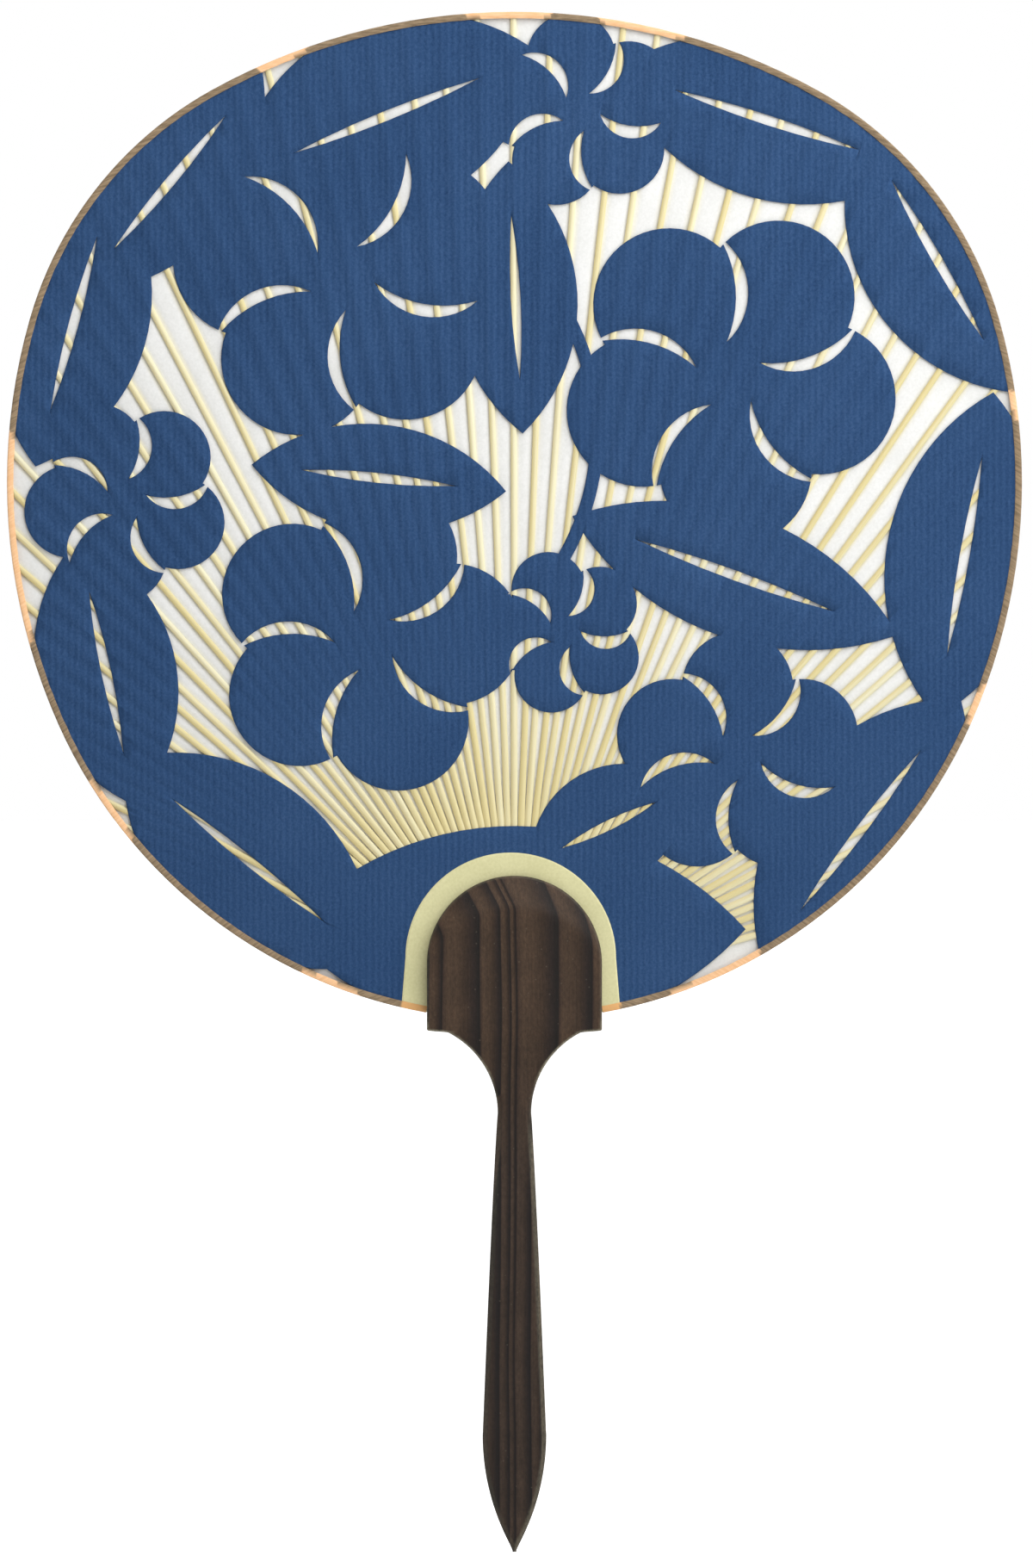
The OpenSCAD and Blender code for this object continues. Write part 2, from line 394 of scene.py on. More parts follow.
def tapered(node: str, levels: dict[Side, float], inset: float = 0.0) -> Obj:
    """Copies a flat CAD node with its faces moved along Y and drawn in at their edges, so its walls slope.

    Args:
        node: a node cut from a flat sheet.
        levels: the faces that move and where to, in millimetres.
        inset: how far their edges are drawn in, in millimetres.

    Returns:
        The new object. Its faces have material 0 and its walls material 1.
    """
    sharpest = 0.35  # keeps a sharp corner from moving further than the inset divided by this
    bm = merged(node)
    walls: dict[bmesh.types.BMVert, list[Vector]] = {}
    for face in bm.faces:
        face.material_index = int(abs(face.normal.y) < 0.5)
        for vert in face.verts if face.material_index else ():
            known = walls.setdefault(vert, [])
            if not any(normal.dot(face.normal) > 0.9999 for normal in known):
                known.append(face.normal.copy())
    planes = {side: max(v.co.y * side.value for v in bm.verts) * side.value for side in levels}
    for vert in bm.verts:
        for side, plane in planes.items():
            if abs(vert.co.y - plane) < TOUCH:
                middle = sum(walls.get(vert, []), Vector())
                if middle.length > TOUCH:
                    middle.normalize()
                    vert.co -= middle * (inset * MM / max(sharpest, middle.dot(walls[vert][0])))
                vert.co.y = levels[side] * MM
                break
    made = bpy.data.meshes.new(node + "_tapered")
    bm.to_mesh(made)
    bm.free()
    return link_object(node + "_tapered", made)


def covers(node: str, probes: Values) -> Values:
    """Tells which spots of the XZ plane a CAD node covers.

    Args:
        node: the node's name.
        probes: one row of x and z for each spot, in millimetres.

    Returns:
        True for each spot that it covers.
    """
    bm = merged(node)
    field = BVHTree.FromBMesh(bm)
    bm.free()
    ahead, start_y = Vector((0, 1, 0)), -0.05
    return np.array([field.ray_cast(Vector((x, start_y, z)), ahead)[0] is not None for x, z in probes * MM])


# Finishes


def ramp_stops(node: Node, stops: Sequence[tuple[float, str]]) -> Node:
    """Gives a Color Ramp its stops.

    Args:
        node: the Color Ramp.
        stops: a position and a hex colour for each.

    Returns:
        The same node.
    """
    elements = node.color_ramp.elements
    for element, (position, code) in zip(elements, (stops[0], stops[-1])):
        element.position, element.color = position, linear(code)
    for position, code in stops[1:-1]:
        elements.new(position).color = linear(code)
    return node


@dataclass(frozen=True)
class Finish:
    """A named finish: a Principled material whose pattern is worked out in millimetres.

    `bump` is the strength of its relief, and `relief` how high that is.
    """

    name: str
    roughness: float
    specular: float
    bump: float = 0.5
    relief: float = 0.05

    def build(self) -> Material:
        """Builds the material.

        Returns:
            The material, with the pattern as its colour and its relief.
        """
        material = bpy.data.materials.new(self.name)
        material.use_nodes = True
        material.node_tree.nodes.clear()
        add = partial(add_node, material.node_tree)
        place = add("VectorMath", [add("TexCoord").outputs["Object"], (1 / MM,) * 3], operation="MULTIPLY")
        colour, height = self.pattern(add, place)
        bump = add("Bump", {"Height": height, "Strength": self.bump, "Distance": self.relief * MM})
        shader = add("BsdfPrincipled", {"Base Color": colour, "Normal": bump, "Roughness": self.roughness,
                                        "Specular IOR Level": self.specular})
        add("OutputMaterial", {"Surface": shader})
        return material

    def pattern(self, add: Adder, place: Node) -> tuple[Node, Node]:
        """Adds the nodes of the pattern.

        Args:
            add: adds a node to the material.
            place: gives the place in millimetres.

        Returns:
            The node that gives the colour and the one that gives the height.
        """
        raise NotImplementedError


@dataclass(frozen=True)
class RibbedPaper(Finish):
    """Dyed craft paper with pressed lines: matt and toothy, with fine upright ribs, darker in between."""

    bump: float = 0.6
    dark: str = "#1D375B"
    middle: str = "#2B476D"
    light: str = "#3A567D"
    # From one pressed line to the next
    line_pitch: float = 1.6
    # Its tooth has this many grains a millimetre
    grain: float = 1.7

    def pattern(self, add: Adder, place: Node) -> tuple[Node, Node]:
        """Adds the pressed lines, the tooth and the clouds of the dye.

        Args:
            add: adds a node to the material.
            place: gives the place in millimetres.

        Returns:
            The node that gives the colour and the one that gives the height.
        """
        # The lines wander a little, as they do in rolled paper
        x = add("SeparateXYZ", [place]).outputs["X"]
        wander = add("TexNoise", {"Vector": place, "Scale": 0.35, "Detail": 2.0})
        shifted = add("Math", [wander, 0.8, x], operation="MULTIPLY_ADD")
        phase = add("Math", [shifted, math.tau / self.line_pitch], operation="MULTIPLY")
        wave = add("Math", [phase], operation="SINE")
        # Each line is broken into dashes a few millimetres long
        long_way = add("VectorMath", [place, (0.8, 1.0, 0.3)], operation="MULTIPLY")
        dashes = add("TexNoise", {"Vector": long_way, "Scale": 1.0, "Detail": 1.0})
        weight = add("MapRange", [dashes, 0.35, 0.65, 0.45, 1.0])
        lines = add("Math", [wave, weight], operation="MULTIPLY")
        tooth = add("TexNoise", {"Vector": place, "Scale": self.grain, "Detail": 4.0, "Roughness": 0.7})
        clouds = add("TexNoise", {"Vector": place, "Scale": 0.03, "Detail": 3.0})
        tone = -0.5
        for layer, strength in ((lines, 0.14), (tooth, 1.5), (clouds, 0.5)):
            tone = add("Math", [layer, strength, tone], operation="MULTIPLY_ADD")
        ramp = ramp_stops(add("ValToRGB", [tone]), [(0.0, self.dark), (0.5, self.middle), (1.0, self.light)])
        return ramp, add("Math", [tooth, 1.5, lines], operation="MULTIPLY_ADD")


@dataclass(frozen=True)
class PlainPaper(Finish):
    """Undyed or tinted thin paper: matt, with soft clouds and short fibres.

    Where it lies on a rib, the rib tints it by `rib_share`.
    """

    relief: float = 0.02
    pale: str = "#E4E4E2"
    deep: str = "#DADAD7"
    over_rib: str = "#E0D8B6"
    rib_share: float = 0.0

    def pattern(self, add: Adder, place: Node) -> tuple[Node, Node]:
        """Adds the fibres, the clouds and the ribs that show through.

        Args:
            add: adds a node to the material.
            place: gives the place in millimetres.

        Returns:
            The node that gives the colour and the one that gives the height.
        """
        fibres = add("TexNoise", {"Vector": place, "Scale": 1.6, "Detail": 4.0})
        clouds = add("TexNoise", {"Vector": place, "Scale": 0.06, "Detail": 2.0})
        mixed = add("Math", [fibres, clouds], operation="ADD")
        share = add("MapRange", [mixed, 0.75, 1.25])
        tint = add("Mix", {0: share, 6: self.deep, 7: self.pale}, data_type="RGBA")
        rib = add("Attribute", attribute_name="near_rib").outputs["Fac"]
        through = add("Math", [rib, self.rib_share], operation="MULTIPLY")
        return add("Mix", {0: through, 6: tint, 7: self.over_rib}, data_type="RGBA"), fibres


@dataclass(frozen=True)
class StripPaper(Finish):
    """Thin unbleached paper, a little see-through: peach over white, brown over blue, tan over the collar.

    Over white and over blue it is blotched between two tones.
    """

    relief: float = 0.04
    over_white: Sequence[str] = ("#E6B484", "#F0C498")
    over_blue: Sequence[str] = ("#75644F", "#9A856A")
    over_collar: str = "#DDAA70"

    def pattern(self, add: Adder, place: Node) -> tuple[Node, Node]:
        """Adds the fibres, which run along the strip, and the tint of what is under it.

        Args:
            add: adds a node to the material.
            place: gives the place in millimetres.

        Returns:
            The node that gives the colour and the one that gives the height.
        """
        run, on_blue, on_collar = (add("Attribute", attribute_name=name).outputs["Fac"]
                                   for name in ("run", "over_blue", "over_collar"))
        out = add("VectorMath", [place], operation="LENGTH")
        drawn = add("VectorMath", [add("CombineXYZ", [run, out]), (0.35, 2.0, 1.0)], operation="MULTIPLY")
        specks = add("TexNoise", {"Vector": drawn, "Scale": 1.0, "Detail": 3.0})
        patches = add("MapRange", [specks, 0.35, 0.65])
        white, blue = (add("Mix", {0: patches, 6: dark, 7: pale}, data_type="RGBA")
                       for dark, pale in (self.over_white, self.over_blue))
        paper = add("Mix", {0: on_blue, 6: white, 7: blue}, data_type="RGBA")
        return add("Mix", {0: on_collar, 6: paper, 7: self.over_collar}, data_type="RGBA"), specks


@dataclass(frozen=True)
class SplitBamboo(Finish):
    """Split and planed bamboo: pale straw with a satin face and long fibres, darker and more golden towards one
    edge, where shade is painted.

    Each rib is from another part of the stem, so some are paler and some more golden.
    """

    bump: float = 0.4
    pale: str = "#DED9B9"
    golden: str = "#D2C590"
    # The colour of the painted shade along one edge of each rib
    edge: str = "#C4AD6E"

    def pattern(self, add: Adder, place: Node) -> tuple[Node, Node]:
        """Adds the fibres, which run along the rib, the rib's own tone and the painted shade along one edge.

        Args:
            add: adds a node to the material.
            place: isn't used, because the pattern follows the rib.

        Returns:
            The node that gives the colour and the one that gives the height.
        """
        across, along, which = (add("Attribute", attribute_name=name).outputs["Fac"]
                                for name in ("across", "along", "rib_tone"))
        stretched = add("VectorMath", [add("CombineXYZ", [across, along, which]), (2.2, 60.0, 40.0)],
                        operation="MULTIPLY")
        grain = add("TexNoise", {"Vector": stretched, "Scale": 1.0, "Detail": 3.0})
        mixed = add("Math", [which, 0.9, grain], operation="MULTIPLY_ADD")
        # The ribs are more golden where they lie close together near the handle
        near = add("MapRange", [along, 0.03, 0.1, 0.45, 0.0])
        richer = add("Math", [mixed, near], operation="ADD")
        gold = add("MapRange", [richer, 0.45, 1.35])
        body = add("Mix", {0: gold, 6: self.pale, 7: self.golden}, data_type="RGBA")
        # The darker edge is painted shade on the side turned down and to the left, away from the light. It fades
        # out past the middle of the rib.
        place_on = add("Math", [grain, 0.35, across], operation="MULTIPLY_ADD")
        shaded_side = add("MapRange", [place_on, -0.9, 0.5, 0.5, 0.0])
        return add("Mix", {0: shaded_side, 6: body, 7: self.edge}, data_type="RGBA"), grain


@dataclass(frozen=True)
class FumedWood(Finish):
    """Fumed softwood, brushed and waxed: dark brown, each ring pale after its dark line and then deepening.

    The growth rings are slanted sheets, so their lines bend where the head's bevel cuts them deeper.
    """

    bump: float = 0.6
    relief: float = 0.12
    # Where the growth lines cross the front of the head, from left to right
    rings: tuple[float, ...] = (-24.0, -20.6, -17.2, -8.2, -3.4, -1.1, 0.3, 10.7, 18.7, 24.0)
    # A ring's tones, from one growth line to the next
    tones: Sequence[tuple[float, str]] = (
        (0.0, "#261B15"), (0.04, "#35271E"), (0.12, "#3F3024"), (0.4, "#3D2E22"), (0.6, "#31241A"),
        (0.82, "#201713"), (0.96, "#100B08"), (1.0, "#140E0B"))
    slant: float = 1.6
    # The ring sheets sway by up to this much to each side
    sway: float = 0.8
    # The front surface's Y at the neck, and what the tip adds to it: two heights, and the values there
    fronts: tuple[tuple[float, ...], ...] = ((52.9, 72.9, -3.5, -4.8), (-53.4, -25.0, 2.5, 0.0))
    # Right of this growth line the blade is cut nearer the heart, so from one height down to another its lines
    # draw together, until they lie 1 + narrowing times as close
    widest: int = 6
    heart_z: Point = (60.0, 35.0)
    narrowing: float = 1.75
    # The blade is darker and greyer from one height down to another: painted shade, as the light falls off down
    # the handle
    low_shade: str = "#E0E6F4"
    low_shade_z: Point = (72.0, 40.0)
    speck: str = "#8D8172"
    # Paler where the head's edges are rubbed, and on the blade's chamfers as painted highlight
    wear_and_highlight: str = "#8A8470"

    def pattern(self, add: Adder, place: Node) -> tuple[Node, Node]:
        """Adds the rings, the fibres and pores, the painted shade low on the handle, the dust, and the worn edges
        with the painted highlight on the blade's chamfers.

        Args:
            add: adds a node to the material.
            place: gives the place in millimetres.

        Returns:
            The node that gives the colour and the one that gives the height.
        """
        axes = add("SeparateXYZ", [place])
        low, high = self.rings[0], self.rings[-1]
        wrapped = add("Math", [self.ring_place(add, place, axes), high, low], operation="WRAP")
        count = add("FloatCurve", {"Value": add("MapRange", [wrapped, low, high])})
        self.number_rings(count)
        rings = add("Math", [count, float(len(self.rings) - 1)], operation="MULTIPLY")
        within = add("Math", [rings], operation="FRACT")
        layers = []
        for scales, detail, roughness in (((2.4, 2.4, 0.06), 3.0, 0.6), ((1.5, 1.5, 0.9), 4.0, 0.7),
                                          ((0.15, 0.15, 0.15), 3.0, 0.5)):
            stretched = add("VectorMath", [place, scales], operation="MULTIPLY")
            layers.append(add("TexNoise", {"Vector": stretched, "Scale": 1.0, "Detail": detail,
                                           "Roughness": roughness}))
        fibres, pores, dusty = layers
        tone = add("MapRange", [fibres, 0.25, 0.75, 0.78, 1.22])
        grain = add("MapRange", [pores, 0.25, 0.75, 0.62, 1.38])
        patch = add("MapRange", [dusty, 0.3, 0.7, 0.84, 1.16])
        both = add("Math", [tone, grain], operation="MULTIPLY")
        every = add("Math", [both, patch], operation="MULTIPLY")
        ramp = ramp_stops(add("ValToRGB", [within]), self.tones)
        toned = add("VectorMath", {0: ramp, "Scale": every}, operation="SCALE")
        # Painted shade: the colour is darkened and greyed low on the handle
        low_shade_share = add("MapRange", [axes.outputs["Z"], *self.low_shade_z])
        colour = add("Mix", {0: low_shade_share, 6: toned, 7: self.low_shade}, data_type="RGBA", blend_type="MULTIPLY")
        # A few specks of pale dust
        dust = add("TexVoronoi", {"Vector": place, "Scale": 0.4})
        dotted = add("MapRange", [dust, 0.04, 0.1, 0.14, 0.0])
        # Rubbed edges on the head, and painted highlight on the blade's chamfers
        wear_and_highlight = add("Attribute", attribute_name="wear_and_highlight").outputs["Fac"]
        paled = add("Math", [wear_and_highlight, add("MapRange", [pores, 0.2, 0.6])], operation="MULTIPLY")
        for share, code in ((dotted, self.speck), (paled, self.wear_and_highlight)):
            colour = add("Mix", {0: share, 6: colour, 7: code}, data_type="RGBA")
        return colour, add("Math", [both, 0.5, add("MapRange", [within, 0.6, 1.0])], operation="MULTIPLY_ADD")

    def ring_place(self, add: Adder, place: Node, axes: Node) -> Node:
        """Adds the nodes that say where across the head's front a point's ring comes out.

        Args:
            add: adds a node to the material.
            place: gives the point in millimetres.
            axes: gives its separate coordinates.

        Returns:
            The node that gives the place in millimetres from the middle.
        """
        x, y, z = axes.outputs
        surface = add("Math", [add("MapRange", [z, *change]) for change in self.fronts], operation="ADD")
        depth = add("Math", [y, surface], operation="SUBTRACT")
        slanted = add("Math", [depth, self.slant, x], operation="MULTIPLY_ADD")
        slow = add("VectorMath", [place, (0.06, 0.06, 0.018)], operation="MULTIPLY")
        sway = add("TexNoise", {"Vector": slow, "Scale": 1.0, "Detail": 1.0})
        swayed = add("Math", [sway, 2 * self.sway, slanted], operation="MULTIPLY_ADD")
        level = add("Math", [swayed, self.sway], operation="SUBTRACT")
        right = add("Math", [level, self.rings[self.widest]], operation="SUBTRACT")
        positive = add("Math", [right, 0.0], operation="MAXIMUM")
        low_down = add("MapRange", [z, *self.heart_z, 0.0, self.narrowing])
        return add("Math", [positive, low_down, level], operation="MULTIPLY_ADD")

    def number_rings(self, node: Node) -> None:
        """Makes a Float Curve rise by the same step from each growth line to the next.

        Args:
            node: the Float Curve node, whose input runs from the first line at 0 to the last at 1.
        """
        curve = node.mapping.curves[0]
        low, width, last = self.rings[0], self.rings[-1] - self.rings[0], len(self.rings) - 1
        for i, place in enumerate(self.rings[1:-1], 1):
            curve.points.new((place - low) / width, i / last)
        for point in curve.points:
            point.handle_type = "VECTOR"
        node.mapping.update()


# Pieces


@dataclass
class RibLayout:
    """Where the ribs lie, in millimetres: straight lines that fan out from one spot low in the face.

    Between two ribs the papers are drawn in, fully once there is `slack_from` of room. They bend over
    `paper_bend`.
    """

    aim: Point
    a_side: int = 35
    step: float = 2.12
    width: float = 1.4
    thickness: float = 0.8
    gap: float = 0.06
    root: float = 14.0
    paper_bend: float = 1.5
    slack_from: float = 4.0
    coarse_turns: int = 44

    def polar(self, x: Values, z: Values) -> tuple[Values, Values]:
        """Returns each point's distance from the aim, and its turn from straight up in degrees."""
        x, z = x - self.aim[0], z - self.aim[1]
        return np.hypot(x, z), np.degrees(np.arctan2(x, z))

    def aside(self, x: Values, z: Values) -> Values:
        """Measures how far each point lies from the middle line of its nearest rib.

        Args:
            x: each point's place across.
            z: its height.

        Returns:
            One distance for each point.
        """
        reach, turn = self.polar(x, z)
        nearest = np.clip(np.round(turn / self.step), -self.a_side, self.a_side)
        return np.abs(reach * np.sin(np.radians(np.clip(turn - nearest * self.step, -90, 90))))

    def nearness(self, x: Values, z: Values) -> Values:
        """Returns 1 for each point on a rib, falling to 0 beside it."""
        return 1 - smooth((self.aside(x, z) - self.width * 0.35) / (self.width * 0.5))

    def slack(self, x: Values, z: Values) -> Values:
        """Tells how far the papers are drawn in between two ribs.

        Args:
            x: each point's place across.
            z: its height.

        Returns:
            A share from 0 to 1 for each point.
        """
        spacing = 2 * self.polar(x, z)[0] * math.sin(math.radians(self.step / 2))
        open_share = np.clip((spacing - self.width) / self.slack_from, 0, 1)
        return open_share * smooth((self.aside(x, z) - self.width * 0.4) / self.paper_bend)

    def columns(self, between: int) -> Values:
        """Lists turns that go round the aim once: fine across the ribs and coarse elsewhere.

        Args:
            between: steps from one rib's middle to the next.

        Returns:
            The turns, in degrees.
        """
        edge = (self.a_side + 0.5) * self.step
        fine = np.linspace(-edge, edge, (2 * self.a_side + 1) * between + 1)
        return np.concatenate([fine, np.linspace(edge, 360 - edge, self.coarse_turns + 2)[1:-1]])


@dataclass
class FaceSheets:
    """The two papers that hold the ribs between them, and the collars glued on them.

    Between two ribs a paper is drawn in by up to `draw_in`, and it waves by up to `waves`, but at the rim it is
    held flat over `rim_hold`. A cut edge slopes by `cut_slope`. The front paper's cutter reaches `clear` past it,
    and the back paper's `cutter_past`.
    """

    ribs: RibLayout
    outline: Values
    columns_a_rib: int = 8
    ring_step: float = 5.0
    slab_reach: float = 250.0
    draw_in: float = 0.26
    rim_hold: float = 5.0
    waves: float = 0.05
    wave_pace: float = 0.03
    cut_slope: float = 0.34
    clear: float = 0.1
    cutter_past: float = 1.0
    paper_sharp: float = 40.0
    collar_sharp: float = 20.0

    def relief(self, x: Values, z: Values) -> Values:
        """Works out how far a paper lies inwards of the ribs' faces.

        Args:
            x: each point's place across.
            z: its height.

        Returns:
            One depth for each point.
        """
        rim = smooth(distance_to(np.column_stack([x, z]), self.outline) / self.rim_hold)
        roll = np.array([noise.noise(Vector((a * self.wave_pace, 0.0, b * self.wave_pace)))
                         for a, b in zip(x, z)])
        return (self.draw_in * self.ribs.slack(x, z) + self.waves * (0.5 + 0.5 * roll)) * rim

    def slab(self, name: str, *levels: Callable[[Values, Values], Values]) -> Obj:
        """Makes a closed disc with a finely meshed front and back, wider than the face.

        Args:
            name: the object's name.
            levels: give the front's Y and the back's Y for each x and z.

        Returns:
            The disc.
        """
        turns = np.radians(self.ribs.columns(self.columns_a_rib))
        reaches = np.arange(self.ring_step, self.slab_reach + self.ring_step, self.ring_step)
        n, rows = len(turns), len(reaches)
        x, z = (middle + np.concatenate([[0.0], np.outer(reaches, way).ravel()])
                for middle, way in zip(self.ribs.aim, (np.sin(turns), np.cos(turns))))
        points = np.concatenate([np.column_stack([x, level(x, z), z]) for level in levels])
        faces = []
        for base in (0, len(x)):
            for j in range(n):
                k = (j + 1) % n
                faces.append((base, base + 1 + j, base + 1 + k))
                for a in range(base + 1, base + 1 + (rows - 1) * n, n):
                    faces.append((a + j, a + n + j, a + n + k, a + k))
        outer, far = (rows - 1) * n + 1, (rows - 1) * n + 1 + len(x)
        faces += [(outer + j, outer + (j + 1) % n, far + (j + 1) % n, far + j) for j in range(n)]
        return make_object(name, points, faces, closed=True)

    def front_paper(self, dyed: Material, core: Material) -> None:
        """Makes the cut front paper: its face follows the ribs, and its cut edges slope and show its core.

        Args:
            dyed: the material of its faces.
            core: the material of its cut edges.
        """
        face_y, base_y = (corner.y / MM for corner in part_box("front_paper"))
        slab = self.slab("front_relief", lambda x, z: face_y + self.relief(x, z),
                         lambda x, z: np.full(len(x), base_y + self.clear))
        # The cutter reaches past the paper, so it is drawn in by more, for the same slope
        inset = self.cut_slope * (base_y - face_y + self.clear) / (base_y - face_y)
        cutter = tapered("front_paper", {Side.FRONT: face_y - self.clear}, inset)
        for part in (slab, cutter):
            dress(part, dyed, core)
        sheet = boolean(slab, cutter, "INTERSECT", "front_paper_sheet")
        self.finished(sheet, self.paper_sharp, Slot.BLUE, "front_paper")

    def back_paper(self, paper: Material) -> None:
        """Makes the plain back paper, drawn in between the ribs on both faces.

        Args:
            paper: its material.
        """
        low, high = (corner.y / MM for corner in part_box("back_paper"))
        slab = self.slab("back_relief", lambda x, z: low - self.relief(x, z),
                         lambda x, z: high - self.relief(x, z))
        cutter = tapered("back_paper", {Side.FRONT: low - self.cutter_past, Side.BACK: high + self.cutter_past})
        sheet = boolean(slab, cutter, "INTERSECT", "back_paper_sheet")
        dress(sheet, paper)
        self.finished(sheet, self.paper_sharp, Slot.WHITE, "back_paper")

    def collar(self, side: Side, paper: Material, edge: Material) -> None:
        """Makes a collar, whose cut edge slopes and is paler than its face.

        Args:
            side: the side of the fan that it is glued on.
            paper: the material of its faces.
            edge: the material of its cut edge.
        """
        node = "front_collar" if side is Side.FRONT else "back_collar"
        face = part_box(node)[0 if side is Side.FRONT else 1]
        made = tapered(node, {side: face.y / MM}, self.cut_slope)
        made.name = made.data.name = f"{node}_sheet"
        dress(made, paper, edge)
        self.finished(made, self.collar_sharp, Slot.COLLAR, node)

    def finished(self, sheet: Obj, sharp: float, slot: Slot, node: str) -> None:
        """Marks where a sheet lies on ribs and settles it.

        Args:
            sheet: the plain sheet.
            sharp: the angle in degrees from which an edge stays sharp.
            slot: the record's slot that it shows.
            node: the node that it replaces.
        """
        x, _, z = mesh_points(sheet.data).T
        store(sheet, "near_rib", self.ribs.nearness(x, z))
        settle(sheet, sharp, slot, node)


@dataclass
class RibFan:
    """The bamboo ribs, fanned out by Geometry Nodes. Each reaches from beside the handle's slot to the rim.

    Near the handle a rib is up to `broad` wider. `crown` is the share of half its thickness by which its front
    is lower at the edges, and `lean` how far it strays from its place, in degrees.
    """

    layout: RibLayout
    middle_y: float
    rim_gap: float = 0.3
    crown: float = 0.5
    broad: float = 0.45
    broad_until: float = 75.0
    waver: float = 0.4
    lean: float = 0.12
    seed: int = 7
    wall_y: float = 5.0
    sharp: float = 35.0

    def rim_wall(self, outline: Values) -> Obj:
        """Makes the upright wall that the ribs are cut at.

        Args:
            outline: the face's outline, in millimetres.

        Returns:
            The wall.
        """
        n = len(outline)
        points = [(x, y, z) for y in (-self.wall_y, self.wall_y) for x, z in outline]
        return make_object("rib_rim", points, [(i, (i + 1) % n, n + (i + 1) % n, n + i) for i in range(n)])

    def tree(self) -> Tree:
        """Builds the node tree: it turns a blank rib about the aim and draws it out to the rim.

        Returns:
            The tree, whose inputs are sizes in metres and angles in radians.
        """
        ribs = self.layout
        tree, add, given = geometry_tree("rib_fan", "Fan", {
            "Ribs a side": ribs.a_side, "Seed": self.seed, "Step": math.radians(ribs.step),
            "Lean": math.radians(self.lean), "Root": ribs.root * MM, "Width": ribs.width * MM,
            "Thickness": ribs.thickness * MM, "Gap": ribs.gap * MM, "Rim gap": self.rim_gap * MM,
            "Crown": self.crown, "Extra width": self.broad * MM, "Extra until": self.broad_until * MM,
            "Waver": self.waver * MM, "Aim": (ribs.aim[0] * MM, self.middle_y * MM, ribs.aim[1] * MM),
        }, Bamboo="Material")
        # One point for each rib, all at the origin, with its turn and its tone
        count = add("Math", [given["Ribs a side"], 2.0, 1.0], operation="MULTIPLY_ADD")
        points = add("GeometryNodePoints", {"Count": count})
        place = add("Math", [add("GeometryNodeInputIndex"), given["Ribs a side"]], operation="SUBTRACT")
        chance = add("FunctionNodeRandomValue", {2: -1.0, 3: 1.0, "Seed": given["Seed"]})
        even = add("Math", [place, given["Step"]], operation="MULTIPLY")
        turn = add("Math", [chance, given["Lean"], even], operation="MULTIPLY_ADD")
        other = add("Math", [given["Seed"], 1.0], operation="ADD")
        tone = add("FunctionNodeRandomValue", {2: 0.0, 3: 1.0, "Seed": other})
        for name, value in (("turn", turn), ("rib_tone", tone)):
            points = add("GeometryNodeStoreNamedAttribute", dict(Geometry=points, Name=name, Value=value))
        # The blank is a cube 1 m a side, drawn into the rib's shape after it is copied
        blank = add("GeometryNodeMeshCube", {"Vertices X": 7, "Vertices Y": 2, "Vertices Z": 30})
        copies = add("GeometryNodeInstanceOnPoints", {"Points": points, "Instance": blank})
        drawn = self.draw_ribs(add, given, add("GeometryNodeRealizeInstances", [copies]))
        end_tree(add, drawn, given["Bamboo"], "Fan")
        return tree

    @staticmethod
    def draw_ribs(add: Adder, given: Any, blanks: Node) -> Node:
        """Adds the nodes that draw each blank out along its line.

        Args:
            add: adds a node to the tree.
            given: the tree's inputs.
            blanks: the node that gives the copied blanks.

        Returns:
            The node that gives the finished ribs.
        """
        x, y, z = add("SeparateXYZ", [add("GeometryNodeInputPosition")]).outputs
        turn, tone = (add("GeometryNodeInputNamedAttribute", {"Name": name}) for name in ("turn", "rib_tone"))
        sine, cosine = (add("Math", [turn], operation=name) for name in ("SINE", "COSINE"))
        ahead = add("CombineXYZ", {0: sine, 2: cosine})
        sideways = add("CombineXYZ", {0: cosine, 2: add("Math", [sine, -1.0], operation="MULTIPLY")})
        half_width, half_step, half_gap = (add("Math", [given[name], 2.0], operation="DIVIDE")
                                           for name in ("Width", "Step", "Gap"))
        # Each corner looks along its rib for the rim
        across = add("Math", [x, 2.0], operation="MULTIPLY")
        end_aside = add("Math", [across, half_width], operation="MULTIPLY")
        shifted = add("VectorMath", {0: sideways, "Scale": end_aside}, operation="SCALE")
        source = add("VectorMath", [given["Aim"], shifted], operation="ADD")
        hit = add("GeometryNodeRaycast", {"Target Geometry": given["Rim"], "Source Position": source,
                                          "Ray Direction": ahead, "Ray Length": 1.0})
        reach = add("Math", [hit.outputs["Hit Distance"], given["Rim gap"]], operation="SUBTRACT")
        along = add("MapRange", {0: add("Math", [z, 0.5], operation="ADD"), 3: given["Root"], 4: reach})
        # Low down the ribs lie side by side, and each is only as wide as its share
        room = add("Math", [along, add("Math", [half_step], operation="SINE")], operation="MULTIPLY")
        clear = add("Math", [room, half_gap], operation="SUBTRACT")
        # A rib is broadest near the handle and tapers outwards
        extra = add("MapRange", [along, given["Root"], given["Extra until"], given["Extra width"], 0.0])
        half_here = add("Math", [extra, 0.5, half_width], operation="MULTIPLY_ADD")
        half = add("Math", [clear, half_here], operation="MINIMUM")
        # A rib wavers by a tenth of a millimetre or so, but not where its neighbours are close
        where = add("CombineXYZ", [along, add("Math", [tone, 37.0], operation="MULTIPLY")])
        stretched = add("VectorMath", [where, (22.0, 1.0, 1.0)], operation="MULTIPLY")
        waver = add("TexNoise", {"Vector": stretched, "Scale": 1.0, "Detail": 0.0})
        free = add("Math", [clear, half], operation="SUBTRACT")
        swing = add("Math", [free, given["Waver"]], operation="MINIMUM")
        off = add("Math", [add("Math", [waver, 0.5], operation="SUBTRACT"), swing], operation="MULTIPLY")
        aside = add("Math", [across, half, off], operation="MULTIPLY_ADD")
